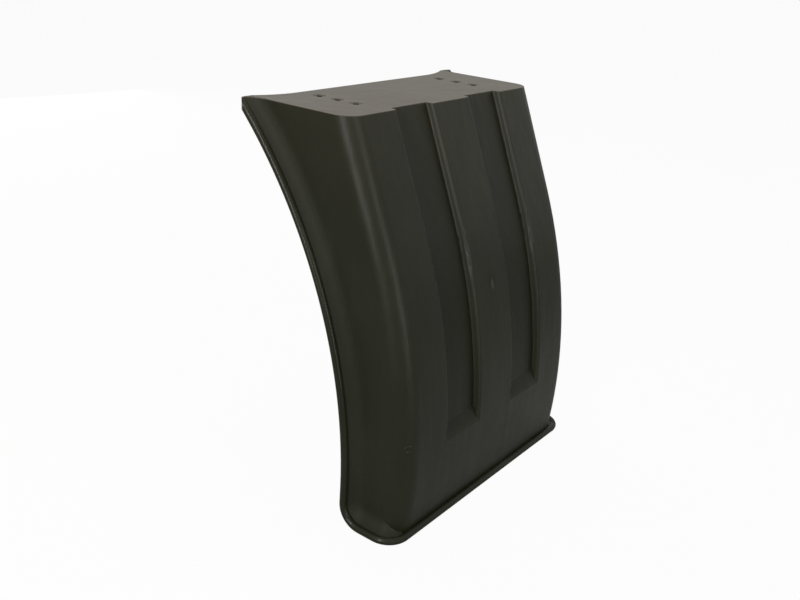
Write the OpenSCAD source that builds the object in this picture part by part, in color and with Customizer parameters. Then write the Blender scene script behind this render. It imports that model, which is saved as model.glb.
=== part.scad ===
// Quarter section of a moulded mudguard for a single wheel, in one piece.
// Millimetres. The origin is on the upper face of the mounting plate, in the middle of its six holes.
// X points out of the tread and away from the wheel, Y runs across the wheel, Z points up.

/* [Tread] */
// Width over the two side walls, without the rim
body_w = 404; // [360:2:460]
// Radius of the curved part of the tread, outer face
tread_r = 755; // [720:5:800]
// Lean of the straight upper part of the tread, degrees from vertical
lean = 22.7; // [20:0.1:25]
// Length of the straight upper part of the tread, along its slope
straight_l = 152; // [120:1:180]
// Height from the underside of the rim to the upper face of the plate
drop = 525; // [490:1:550]
// Radius of the two long corners between the tread and the side walls, outer face
corner_r = 26; // [20:1:32]
// Thickness of the moulded wall
wall_t = 4; // [3:0.5:5]

/* [Mounting plate] */
// Distance from the middle of the holes to the front edge of the plate
plate_front = 82; // [70:1:95]
// Distance from the middle of the holes to the rear edge of the plate
plate_rear = 62; // [50:1:64]
// Thickness of the plate
plate_t = 4; // [3:0.5:6]
// Radius of the sweep from the rear edge of the plate out to its ears
ear_r = 125; // [100:1:160]
// Width of the sweep of one ear, measured in from the side wall
ear_w = 65; // [50:1:75]
// Distance from the middle of the holes to the blunt upper ends of the rim
ear_end = 78; // [74:1:84]
// Radius of the blunt upper ends of the rim, seen from above
ear_end_r = 12; // [4:1:16]
// Diameter of the six holes
hole_d = 8.5; // [5:0.1:12]
// Spacing of the holes in a row, front to rear
hole_pitch = 30; // [24:1:34]
// Distance between the two rows of holes
hole_span = 258; // [180:2:300]
// Diameter of the shallow seat around a hole
seat_d = 16; // [14:0.5:20]
// Depth of the shallow seat around a hole
seat_depth = 0.5; // [0.2:0.1:1]

/* [Side walls] */
// Depth of a side wall at the foot, from the tread to the wheel edge
wall_depth_foot = 89.5; // [75:0.5:100]
// Length of the straight lower end of the wheel edge
edge_run = 23; // [10:1:40]
// Radius of the wheel edge of the side walls
lip_r = 655; // [640:1:675]
// Radius of the lower rear corner of the side walls
foot_corner_r = 33; // [33:0.5:38]

/* [Rim] */
// Width of the flared band, from the flat side wall to the middle of the bead
flare_w = 24; // [20:0.5:24]
// Distance the flared band leans out, from the side wall to the middle of the bead
flare_out = 16; // [12:0.5:16]
// Diameter of the bead that runs along the edge
bead_d = 10; // [9:0.5:12]
// Distance from the outer face of the tread to the middle of its bead, outward
bead_off = 2.5; // [1.5:0.25:3]

/* [Channels] */
// Width of one channel between the tops of its sides
channel_w = 74; // [60:1:90]
// Width of the land between the two channels
channel_gap = 82; // [70:1:110]
// Depth of the channels
channel_d = 9; // [5:0.5:11]
// Slope of the channel sides, degrees
channel_draft = 8; // [4:1:15]
// Radius along the upper edges of a channel
channel_edge_r = 4; // [2:0.5:5]
// Radius along the foot of the channel sides
channel_root_r = 2; // [1:0.5:3]
// Height from the plate down to the lower end of the channels
channel_l = 410; // [360:1:440]
// Length of the ramp at the lower end of a channel
ramp_l = 20; // [15:1:40]

/* [Gate mark] */
// Diameter of the shallow dish where the mould was filled
gate_d = 16; // [10:1:24]
// Depth of the dish
gate_depth = 1; // [0.5:0.1:1.5]
// Diameter of the stub in the dish
gate_stub_d = 3; // [2:0.5:5]
// Height from the plate down to the dish
gate_drop = 218; // [180:1:300]

/* [Hidden] */
$fn = 144;

half_w = body_w / 2;
// Centre of the curved part of the tread, seen from the side
tread_cx = plate_front + straight_l * sin(lean) - tread_r * cos(lean);
tread_cz = -straight_l * cos(lean) - tread_r * sin(lean);
// Middle of the bead, measured in from the edge, and its height under the plate
bead_s = bead_d / 2;
bead_z = -drop + bead_s;
foot_x = tread_cx + sqrt(tread_r * tread_r - (bead_z - tread_cz) * (bead_z - tread_cz));
// Flared band: an arc that leaves the side wall at a faint crease and ends in the middle of the bead
flare_s = bead_s + flare_w;
flare_r = (flare_w * flare_w + flare_out * flare_out - wall_t * wall_t / 4) / (2 * flare_out + wall_t);
// How far both faces of the band sink into the side wall, and how far its inner face is shifted
sink = 0.3;
shift = 2;
// Centre of the lower rear corner of the side walls, and centre of the wheel edge above it
heel_z = -drop + foot_corner_r;
heel_x = tread_cx + tread_r - wall_depth_foot + foot_corner_r;
edge_x = heel_x - foot_corner_r;
lip_cx = edge_x - lip_r;
lip_cz = heel_z + edge_run;
lip_top_x = lip_cx + sqrt(lip_r * lip_r - lip_cz * lip_cz);
// Turn of the bead from a side wall to the tread
turn_r = corner_r + bead_off;
turn_x = foot_x - corner_r;
turn_y = half_w + flare_out - turn_r;
bottom_l = turn_x - heel_x;
// The band reaches under the side wall by lap, and the side wall ends at wall_end
lap = 3;
wall_end = flare_s - (shift + sqrt(2 * (flare_r + wall_t) * sink) + sqrt(2 * flare_r * sink)) / 2;
// Spare lengths where a piece is trimmed afterwards
spare = 40;
over_plate = 130;
// Channel outline, half of it: u is measured out of the tread, v across
channel_y = channel_gap / 2 + channel_w / 2;
slope = tan(channel_draft);
edge_v = channel_w / 2 - channel_edge_r * slope + channel_edge_r / cos(channel_draft);
root_v = channel_w / 2 - (channel_d - channel_root_r) * slope - channel_root_r / cos(channel_draft);
end_angle = asin((-channel_l - tread_cz) / tread_r);
ramp_angle = atan(channel_d / ramp_l);
gate_angle = asin((-gate_drop - tread_cz) / tread_r);
dish_r = (gate_d * gate_d / 4 + gate_depth * gate_depth) / (2 * gate_depth);

function mirrored(half) = concat(half, [for (i = [len(half) - 1 : -1 : 0]) [half[i][0], -half[i][1]]]);

// Lays a shape drawn from the side into the X Z plane, with its height along Y
module side_on() {
    rotate([90, 0, 0]) children();
}

// Carries a section along the tread: down the arc, and up the straight part
module along_tread(arc_angle) {
    translate([tread_cx, 0, tread_cz]) side_on() rotate([0, 0, lean]) {
        mirror([0, 1, 0]) rotate_extrude(angle = arc_angle, $fn = 360) translate([tread_r, 0]) children();
        translate([0, straight_l + over_plate, 0]) rotate([90, 0, 0]) linear_extrude(straight_l + over_plate)
            translate([tread_r, 0]) children();
    }
}

// Section of the tread and its side walls as a solid, set in by an even amount
module body_section(inset) {
    reach = plate_front - lip_top_x + spare;
    translate([-reach, -half_w + inset]) square([reach - corner_r, body_w - 2 * inset]);
    translate([-corner_r - 1, -half_w + corner_r]) square([corner_r + 1 - inset, body_w - 2 * corner_r]);
    for (side = [-1, 1]) {
        translate([-corner_r, side * (half_w - corner_r)]) circle(corner_r - inset);
    }
}

module wall_section() {
    difference() {
        body_section(0);
        body_section(wall_t);
    }
}

// Everything between the plate and the bead
module height_range(low) {
    translate([-400, -half_w - 60, low]) cube([900, body_w + 120, -low]);
}

// Side view of what is cut from the flat side walls to make room for the flared band
module flare_room() {
    translate([lip_cx, lip_cz]) circle(lip_r + wall_end, $fn = 360);
    translate([edge_x - spare, heel_z]) square([spare + wall_end, edge_run]);
    translate([heel_x, -drop - spare]) square([bottom_l, spare + wall_end]);
    difference() {
        translate([heel_x - spare, heel_z - 2 * spare]) square([spare, 2 * spare]);
        translate([heel_x, heel_z]) circle(foot_corner_r - wall_end);
    }
}

module tread_and_walls() {
    difference() {
        intersection() {
            along_tread(36) wall_section();
            height_range(bead_z);
        }
        translate([0, half_w + spare, 0]) side_on() linear_extrude(body_w + 2 * spare) flare_room();
    }
}

// Section of the rim: x is measured in from the edge, y out of the side wall
module rim_section() {
    difference() {
        translate([flare_s - shift, flare_r - shift / 2 - sink]) circle(flare_r + wall_t - shift / 2);
        translate([flare_s, flare_r - sink]) circle(flare_r);
        translate([flare_s + lap, -spare]) square([2 * spare, 4 * spare]);
        translate([bead_s - spare, flare_out]) square([flare_w + 2 * spare, 2 * spare]);
    }
    translate([bead_s, flare_out]) circle(bead_s);
}

// The same section filled from the inside up to its outer face
module rim_fill() {
    difference() {
        translate([bead_s, -wall_t / 2]) square([flare_w, flare_out + wall_t / 2]);
        translate([flare_s, flare_r - sink]) circle(flare_r);
    }
    translate([bead_s, flare_out]) circle(bead_s);
}

// Carries a rim section up the wheel edge of a side wall, from the end of its straight run
module up_the_lip() {
    translate([-lip_r, 0, 0]) side_on()
        rotate_extrude(angle = 50, $fn = 360) translate([lip_r, half_w]) children();
}

// Rim along one side wall, from the point where the turn to the tread starts
module rim_side() {
    translate([-bottom_l, -half_w, 0]) rotate([90, 0, 90]) linear_extrude(bottom_l)
        rotate([0, 0, 90]) rim_section();
    translate([-bottom_l, 0, foot_corner_r]) {
        side_on() rotate([0, 0, 180]) rotate_extrude(angle = 90)
            translate([foot_corner_r, half_w]) mirror([1, 0]) rim_section();
        translate([-foot_corner_r, 0, 0]) {
            translate([0, -half_w, 0]) linear_extrude(edge_run) mirror([0, 1]) rim_section();
            translate([0, 0, edge_run]) up_the_lip() rim_section();
        }
    }
}

// Turn of the rim from a side wall to the tread, filled where the flare runs out
module rim_turn() {
    translate([0, -turn_y, 0]) rotate([0, 0, -90]) rotate_extrude(angle = 90)
        translate([turn_r - flare_out, 0]) mirror([1, -1]) rim_fill();
}

module rim() {
    difference() {
        translate([turn_x, 0, -drop]) {
            for (side = [0, 1]) {
                mirror([0, side, 0]) {
                    rim_side();
                    rim_turn();
                }
            }
            translate([turn_r, turn_y, bead_s]) side_on() cylinder(h = 2 * turn_y, r = bead_s);
        }
        along_tread(36) body_section(wall_t);
    }
}

// Plan of the rear edge of the plate, with the sweep out to the ears
module rear_cut() {
    ear_y = half_w - ear_w;
    translate([-plate_rear - ear_r, -ear_y]) square([ear_r, 2 * ear_y]);
    for (side = [-1, 1]) {
        translate([-plate_rear - ear_r, side * ear_y]) circle(ear_r);
    }
    translate([-plate_rear - 3 * ear_r, -body_w]) square([2 * ear_r, 2 * body_w]);
}

// Plan of what is cut away behind and beside the blunt upper ends of the rim
module ear_ends() {
    middle = [-ear_end + ear_end_r, half_w + flare_out + bead_s - ear_end_r];
    translate([-ear_end - spare, -body_w]) square([spare, 2 * body_w]);
    for (side = [0, 1]) {
        mirror([0, side]) difference() {
            translate([-ear_end - 1, middle[1]]) square([ear_end_r + 1, spare]);
            translate(middle) circle(ear_end_r);
        }
    }
}

module plate() {
    difference() {
        intersection() {
            union() {
                along_tread(10) body_section(0);
                for (side = [0, 1]) {
                    mirror([0, side, 0]) translate([edge_x, 0, lip_cz]) up_the_lip() rim_fill();
                }
            }
            height_range(-plate_t);
        }
        translate([0, 0, -plate_t - 1]) linear_extrude(plate_t + 2) rear_cut();
        translate([lip_cx, half_w + spare, lip_cz]) side_on()
            cylinder(h = body_w + 2 * spare, r = lip_r + bead_s, $fn = 360);
    }
}

// Section of a channel, as the space to be cut from the tread
module channel_section() {
    edge = [-channel_edge_r, edge_v];
    root = [-channel_d + channel_root_r, root_v];
    normal = [-sin(channel_draft), cos(channel_draft)];
    difference() {
        union() {
            polygon(mirrored([
                [3, edge_v],
                [0, edge_v],
                edge,
                edge - channel_edge_r * normal,
                root + channel_root_r * normal,
                root,
                [-channel_d, root_v],
            ]));
            for (side = [-1, 1]) {
                translate([root[0], side * root[1]]) circle(channel_root_r);
            }
        }
        for (side = [-1, 1]) {
            translate([edge[0], side * edge[1]]) circle(channel_edge_r);
        }
    }
}

// Section of the wall that lines a channel on the inside
module lining_section() {
    polygon(mirrored([
        [-wall_t / 2, channel_w / 2 + wall_t + 1],
        [-channel_d, channel_w / 2 + wall_t - 1],
        [-channel_d - wall_t, root_v + 1],
    ]));
}

// Keeps what is above the ramp at the lower end of the channels
module above_ramp(lower) {
    intersection() {
        children();
        translate([tread_cx, 0, tread_cz]) side_on() rotate([0, 0, end_angle]) translate([tread_r, 0, 0])
            rotate([0, 0, ramp_angle]) translate([-lower, -700, -half_w]) cube([400, 1400, body_w]);
    }
}

module linings() {
    above_ramp(wall_t) intersection() {
        along_tread(26) {
            translate([0, -channel_y]) lining_section();
            translate([0, channel_y]) lining_section();
        }
        height_range(-drop);
    }
}

module channels() {
    above_ramp(0) along_tread(26) {
        translate([0, -channel_y]) channel_section();
        translate([0, channel_y]) channel_section();
    }
}

module holes() {
    for (x = [-hole_pitch, 0, hole_pitch], side = [-1, 1]) {
        translate([x, side * hole_span / 2, -plate_t - 1]) cylinder(h = plate_t + 2, d = hole_d, $fn = 48);
        translate([x, side * hole_span / 2, -seat_depth]) cylinder(h = seat_depth + 1, d = seat_d, $fn = 48);
    }
}

module gate_mark() {
    translate([tread_cx, 0, tread_cz]) side_on() rotate([0, 0, gate_angle]) translate([tread_r, 0, 0])
        difference() {
            translate([dish_r - gate_depth, 0, 0]) sphere(dish_r);
            rotate([0, 90, 0]) translate([0, 0, -gate_depth - 1]) cylinder(h = gate_depth + 1, d = gate_stub_d, $fn = 32);
        }
}

module mudguard() {
    color([0.14, 0.145, 0.13])
        difference() {
            union() {
                tread_and_walls();
                intersection() {
                    rim();
                    height_range(-drop);
                }
                plate();
                linings();
            }
            channels();
            holes();
            gate_mark();
            translate([0, 0, -spare]) linear_extrude(2 * spare) ear_ends();
        }
}

mudguard();
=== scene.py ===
"""Dresses a moulded quarter mudguard in black plastic and lights it as in a plain studio."""

import bmesh
import bpy
from mathutils import Matrix, Vector


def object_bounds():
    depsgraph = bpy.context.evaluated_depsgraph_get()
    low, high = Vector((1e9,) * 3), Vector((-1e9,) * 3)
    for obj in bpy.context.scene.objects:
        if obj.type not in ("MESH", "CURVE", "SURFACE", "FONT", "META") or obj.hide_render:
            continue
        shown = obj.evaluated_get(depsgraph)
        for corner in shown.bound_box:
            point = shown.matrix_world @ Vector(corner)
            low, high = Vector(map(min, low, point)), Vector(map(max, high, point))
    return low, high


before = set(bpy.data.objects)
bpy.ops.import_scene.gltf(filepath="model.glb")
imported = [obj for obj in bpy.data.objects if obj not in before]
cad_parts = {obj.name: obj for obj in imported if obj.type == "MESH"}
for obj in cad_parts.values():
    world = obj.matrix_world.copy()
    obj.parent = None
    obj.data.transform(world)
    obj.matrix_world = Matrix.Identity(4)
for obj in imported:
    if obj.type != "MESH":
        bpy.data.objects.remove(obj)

CAD_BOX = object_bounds()

# Camera, fitted to the photograph: its place, and its right, down and forward directions
CAMERA_PLACE = (0.7521, -0.9903, 0.2062)
CAMERA_RIGHT = (0.78731, 0.61311, 0.06517)
CAMERA_DOWN = (0.27917, -0.26025, -0.9243)
CAMERA_FORWARD = (-0.54974, 0.7459, -0.37606)
SENSOR_WIDTH = 36.0
FOCAL_LENGTH = 41.29
SHIFT = (-0.0003, -0.004)

# Studio
FLOOR_RADIUS = 40.0
FLOOR_COLOUR = (0.5, 0.5, 0.49, 1.0)
FLOOR_CLEAN = 0.95
SURROUND = 0.34
LAMP_TARGET = (0.08, 0.0, -0.24)

# Each lamp's name, place, width, height and power in watts
LAMPS = (
    ("top_softbox", (-0.3, 0.4, 2.4), 2.2, 2.2, 40.0),
    ("left_strip", (0.45, -2.6, 1.1), 0.34, 2.4, 80.0),
    ("back_fill", (-2.6, 0.5, 0.2), 2.0, 1.6, 34.0),
    ("right_strip", (2.6, -0.5, 0.25), 0.3, 2.2, 28.0),
)

# The moulded plastic, in linear colour, and the heights of its relief in metres
PLASTIC = (0.0078, 0.0085, 0.0035, 1.0)
PLASTIC_DULL = (0.011, 0.0117, 0.0057, 1.0)
# Pale tone for rubbed spots and the nick, also used as painted light on the channel walls
RUBBED_AND_PAINTED_LIGHT = (0.03, 0.03, 0.024, 1.0)
# Near-black for the painted shade in the channel floors, and for the darker dish
SHADE_AND_SPOT_BLACK = (0.0034, 0.0041, 0.0002, 1.0)
# Dust tone, pale enough to also paint in the light on the upward faces
DUST_AND_TOP_LIGHT = (0.101, 0.085, 0.062, 1.0)
SHEEN = 0.145
# How much lighter the walls grow towards their top edges
TOP_LIGHTENING = 0.08
ROOT_RELIEF = 0.0004
WAVE_RELIEF = 0.0024
DIMPLE_RELIEF = 0.0005
MARK_RELIEF = 0.0009
GRAIN_RELIEF = 0.00012

# The side walls, in metres: wall face, wheel edge, lower rear corner, root of the flare, and bead
WALL_FACE = 0.202
LIP_CENTRE = (-0.54536, -0.469)
LIP_RADIUS = 0.655
HEEL_HEIGHT = -0.492
HEEL_RADIUS = 0.033
FLARE_ROOT = 0.0253
BEAD_SIDE = 0.223

# The two channels: middle and half width across the tread, outer edge, and lower end
CHANNEL_SIDE = 0.078
CHANNEL_HALF = 0.037
CHANNEL_EDGE = CHANNEL_SIDE + CHANNEL_HALF
CHANNEL_END = -0.41

# The filling mark in the middle of the tread, with an upright nick, and marks on the near long corner
GATE_PLACE = (0.1698, 0.0, -0.223)
NICK_PLACE = (0.1717, 0.002, -0.2292)
NICK_FLATTEN = (1.0, 1.0, 0.33)
MARK_PLACE = (0.1926, -0.192, -0.392)
CREASE_SIDE = -0.1945
CREASE_ENDS = (-0.455, -0.402)


class Field:
    """A value that varies over a surface. Sums and products of fields add Math nodes."""

    def __init__(self, maker, socket):
        self.maker = maker
        self.socket = socket

    def _math(self, operation, first, second=None):
        values = {0: first}
        if second is not None:
            values[1] = second
        return self.maker.node("ShaderNodeMath", {"operation": operation}, values)

    def __add__(self, other):
        return self._math("ADD", self, other)

    def __sub__(self, other):
        return self._math("SUBTRACT", self, other)

    def __rsub__(self, other):
        return self._math("SUBTRACT", other, self)

    def __mul__(self, other):
        return self._math("MULTIPLY", self, other)

    def __abs__(self):
        return self._math("ABSOLUTE", self)

    def root(self):
        return self._math("SQRT", self)

    def largest(self, other):
        return self._math("MAXIMUM", self, other)

    def ramp(self, low, high):
        """Goes smoothly from 0 at low to 1 at high."""
        settings = {"interpolation_type": "SMOOTHSTEP"}
        values = {"Value": self, "From Min": low, "From Max": high}
        return self.maker.node("ShaderNodeMapRange", settings, values)


class Maker:
    """Adds nodes to one material or world."""

    def __init__(self, tree):
        self.tree = tree
        self.tree.nodes.clear()

    def node(self, kind, settings=None, values=None, output=0):
        made = self.tree.nodes.new(kind)
        for name, setting in (settings or {}).items():
            setattr(made, name, setting)
        for key, value in (values or {}).items():
            if isinstance(value, Field):
                self.tree.links.new(value.socket, made.inputs[key])
            else:
                made.inputs[key].default_value = value
        return Field(self, made.outputs[output] if len(made.outputs) else None)

    def noise(self, place, scale, detail=2.0, roughness=0.5):
        values = {"Vector": place, "Scale": scale, "Detail": detail, "Roughness": roughness}
        return self.node("ShaderNodeTexNoise", {"noise_dimensions": "3D"}, values)

    def stretched(self, place, scale):
        return self.node("ShaderNodeMapping", {}, {"Vector": place, "Scale": scale})

    def blend(self, amount, first, second):
        settings = {"data_type": "RGBA", "blend_type": "MIX"}
        return self.node("ShaderNodeMix", settings, {0: amount, 6: first, 7: second}, output=2)

    def parts_of(self, vector):
        outputs = self.node("ShaderNodeSeparateXYZ", {}, {"Vector": vector}).socket.node.outputs
        return [Field(self, outputs[i]) for i in range(3)]

    def gap(self, place, centre):
        """Distance from a fixed point."""
        settings = {"operation": "DISTANCE"}
        return self.node("ShaderNodeVectorMath", settings, {0: place, 1: centre}, output="Value")

    def ray(self, kind):
        return self.node("ShaderNodeLightPath", output=kind)

    def bump(self, height, distance, below=None):
        values = {"Height": height, "Distance": distance}
        if below is not None:
            values["Normal"] = below
        return self.node("ShaderNodeBump", {}, values)


def new_material(name):
    material = bpy.data.materials.new(name)
    material.use_nodes = True
    return material, Maker(material.node_tree)


def edge_distance(x, z):
    """Distance in from the wheel edge and the lower edge of a side wall, seen from the side."""
    across = x - LIP_CENTRE[0]
    up = (z - LIP_CENTRE[1]).largest(0.0)
    from_lip = (across * across + up * up).root() - LIP_RADIUS
    inward = (HEEL_RADIUS - from_lip).largest(0.0)
    down = (HEEL_HEIGHT - z).largest(0.0)
    return HEEL_RADIUS - (inward * inward + down * down).root()


def moulded_plastic():
    """Black plastic with a fine mould grain, slow waves, faint flow lines and rubbed spots."""
    material, make = new_material("moulded_plastic")
    place = make.node("ShaderNodeTexCoord", output="Object")
    x, y, z = make.parts_of(place)
    facing = make.parts_of(make.node("ShaderNodeNewGeometry", output="Normal"))

    cloud = make.noise(place, 7.0, detail=3.0)
    patch = make.noise(place, 31.0, detail=3.0, roughness=0.6)
    flow = make.noise(make.stretched(place, (46.0, 46.0, 3.0)), 1.0, detail=2.0)
    grain = make.noise(place, 850.0, detail=2.0, roughness=0.6)
    scuff = make.noise(make.stretched(place, (260.0, 260.0, 34.0)), 1.0, detail=2.0).ramp(0.7, 0.82)

    # The flare leaves the side wall in a soft root, duller than the smooth bead
    inward = edge_distance(x, z)
    outside = abs(y).ramp(WALL_FACE - 0.0025, WALL_FACE - 0.0008)
    beside_root = (1.0 - abs(inward - FLARE_ROOT) * 100.0).largest(0.0) * outside
    flare = (1.0 - inward.ramp(FLARE_ROOT, FLARE_ROOT + 0.008)) * outside
    bead = abs(y).ramp(BEAD_SIDE - 0.007, BEAD_SIDE - 0.003)

    # Dull haze in patches, painted shade down in the channels, and painted light on the channel walls
    # that face the near side
    off_channel = abs(abs(y) - CHANNEL_SIDE).ramp(CHANNEL_HALF - 0.004, CHANNEL_HALF)
    # Mask of painted shade on the channel floors, where the channel walls shade them
    floor = (1.0 - off_channel) * z.ramp(CHANNEL_END, CHANNEL_END + 0.01)
    dull = (cloud * 0.75 + flow * 0.25).ramp(0.38, 0.64)
    # Painted light on the channel walls that face the near side, fading towards the bottom
    near_channel = 1.0 - abs(y).ramp(CHANNEL_EDGE + 0.004, CHANNEL_EDGE + 0.007)
    fading = z.ramp(-0.36, -0.04) * 0.7 + 0.3
    lit_channel_side = (0.0 - facing[1]).ramp(0.3, 0.75) * near_channel * fading

    # The dish where the mould was filled is darker, with a pale upright nick at its stub
    dish = 1.0 - make.gap(place, GATE_PLACE).ramp(0.006, 0.013)
    nick_middle = tuple(a * b for a, b in zip(NICK_PLACE, NICK_FLATTEN))
    nick = 1.0 - make.gap(make.stretched(place, NICK_FLATTEN), nick_middle).ramp(0.001, 0.0043)

    # A thin film of dust on the plate, whose pale tone also stands for painted light the plate
    # catches from above; the same tone runs in a thin line just below the top edges and makes the
    # walls lighter towards the top
    upward = (facing[2].ramp(0.75, 0.98) * z.ramp(-0.02, -0.01)).largest(z.ramp(-0.0009, -0.0004))
    dust_and_top_light = upward.largest(z.ramp(-0.17, 0.0) * TOP_LIGHTENING) * (patch * 0.24 + grain * 0.1 + 0.34)

    colour = make.blend(dull, PLASTIC, PLASTIC_DULL)
    # Painted shade in the channel floors, and the darker dish, in one near-black tone
    colour = make.blend((floor * 0.6).largest(dish * 0.5), colour, SHADE_AND_SPOT_BLACK)
    # Rubbed scuffs and the pale nick, with painted light on the channel walls
    colour = make.blend((scuff * 0.15).largest(lit_channel_side * 0.6).largest(nick), colour, RUBBED_AND_PAINTED_LIGHT)
    # Dust film, with painted light on the upward faces and lighter wall tops
    colour = make.blend(dust_and_top_light, colour, DUST_AND_TOP_LIGHT)
    roughness = cloud * 0.08 + grain * 0.06 + scuff * 0.1 + dust_and_top_light * 0.15 + 0.33
    roughness = roughness + flare * 0.25 - bead * 0.36

    # Mould mark low on the near long corner, with the short crease under it
    from_mark = make.gap(place, MARK_PLACE)
    ring = from_mark.ramp(0.002, 0.0038) * (1.0 - from_mark.ramp(0.0045, 0.0065))
    crease = 1.0 - abs(y - CREASE_SIDE).ramp(0.0004, 0.0026)
    crease = crease * z.ramp(CREASE_ENDS[0], CREASE_ENDS[0] + 0.02) * x.ramp(0.15, 0.17)
    crease = crease * (1.0 - z.ramp(CREASE_ENDS[1] - 0.012, CREASE_ENDS[1]))
    outer_face = facing[0].ramp(0.0, 0.2)

    softened = make.bump(beside_root * beside_root, ROOT_RELIEF)
    waves = make.bump(cloud * 0.7 + flow * 0.3, WAVE_RELIEF, below=softened)
    dimples = make.bump(patch, DIMPLE_RELIEF, below=waves)
    marks = make.bump((ring * 0.7 - crease * 0.6) * outer_face, MARK_RELIEF, below=dimples)
    surface = make.bump(grain, GRAIN_RELIEF, below=marks)

    shader = make.node("ShaderNodeBsdfPrincipled", {}, {
        "Base Color": colour,
        "Roughness": roughness,
        "Specular IOR Level": SHEEN,
        "Normal": surface,
    })
    make.node("ShaderNodeOutputMaterial", {}, {"Surface": shader})
    return material


def pale_floor():
    """A pale floor that the camera sees nearly white, with the soft shadow kept."""
    material, make = new_material("pale_floor")
    seen = make.ray("Is Camera Ray").largest(make.ray("Is Transmission Ray"))
    plain = make.node("ShaderNodeBsdfDiffuse", {}, {"Color": FLOOR_COLOUR})
    clean = make.node("ShaderNodeEmission", {}, {"Color": (1.0, 1.0, 1.0, 1.0), "Strength": 1.0})
    mixed = make.node("ShaderNodeMixShader", {}, {0: seen * FLOOR_CLEAN, 1: plain, 2: clean})
    make.node("ShaderNodeOutputMaterial", {}, {"Surface": mixed})
    return material


def build_floor(height):
    shape = bmesh.new()
    bmesh.ops.create_circle(shape, cap_ends=True, segments=64, radius=FLOOR_RADIUS)
    bmesh.ops.translate(shape, verts=shape.verts, vec=(0.0, 0.0, height))
    mesh = bpy.data.meshes.new("floor")
    shape.to_mesh(mesh)
    shape.free()
    floor = bpy.data.objects.new("floor", mesh)
    bpy.context.scene.collection.objects.link(floor)
    floor.data.materials.append(pale_floor())


def build_surround():
    """White to the camera and in reflections, and an even grey as a light."""
    world = bpy.data.worlds.new("studio")
    world.use_nodes = True
    make = Maker(world.node_tree)
    seen = make.ray("Is Camera Ray").largest(make.ray("Is Transmission Ray"))
    seen = seen.largest(make.ray("Is Glossy Ray"))
    strength = seen * (1.0 - SURROUND) + SURROUND
    white = {"Color": (1.0, 1.0, 1.0, 1.0), "Strength": strength}
    background = make.node("ShaderNodeBackground", {}, white)
    make.node("ShaderNodeOutputWorld", {}, {"Surface": background})
    bpy.context.scene.world = world


def add_softbox(name, place, width, height, power):
    """A soft rectangular lamp, turned towards the middle of the part."""
    lamp = bpy.data.lights.new(name, "AREA")
    lamp.shape = "RECTANGLE"
    lamp.size = width
    lamp.size_y = height
    lamp.energy = power
    holder = bpy.data.objects.new(name, lamp)
    bpy.context.scene.collection.objects.link(holder)
    holder.location = place
    aim = Vector(LAMP_TARGET) - Vector(place)
    holder.rotation_euler = aim.to_track_quat("-Z", "Y").to_euler()


def build_camera():
    lens = bpy.data.cameras.new("photo_camera")
    lens.sensor_width = SENSOR_WIDTH
    lens.lens = FOCAL_LENGTH
    lens.shift_x = SHIFT[0]
    lens.shift_y = SHIFT[1]
    holder = bpy.data.objects.new("photo_camera", lens)
    bpy.context.scene.collection.objects.link(holder)
    turn = Matrix((CAMERA_RIGHT, -Vector(CAMERA_DOWN), -Vector(CAMERA_FORWARD))).transposed()
    holder.matrix_world = Matrix.Translation(CAMERA_PLACE) @ turn.to_4x4()
    bpy.context.scene.camera = holder


def dress(node, material):
    """Gives a CAD node its finish."""
    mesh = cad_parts[node].data
    mesh.materials.clear()
    mesh.materials.append(material)


bpy.context.scene.view_settings.view_transform = "Standard"
dress("mudguard", moulded_plastic())
build_floor(CAD_BOX[0][2])
build_surround()
for lamp in LAMPS:
    add_softbox(*lamp)
build_camera()
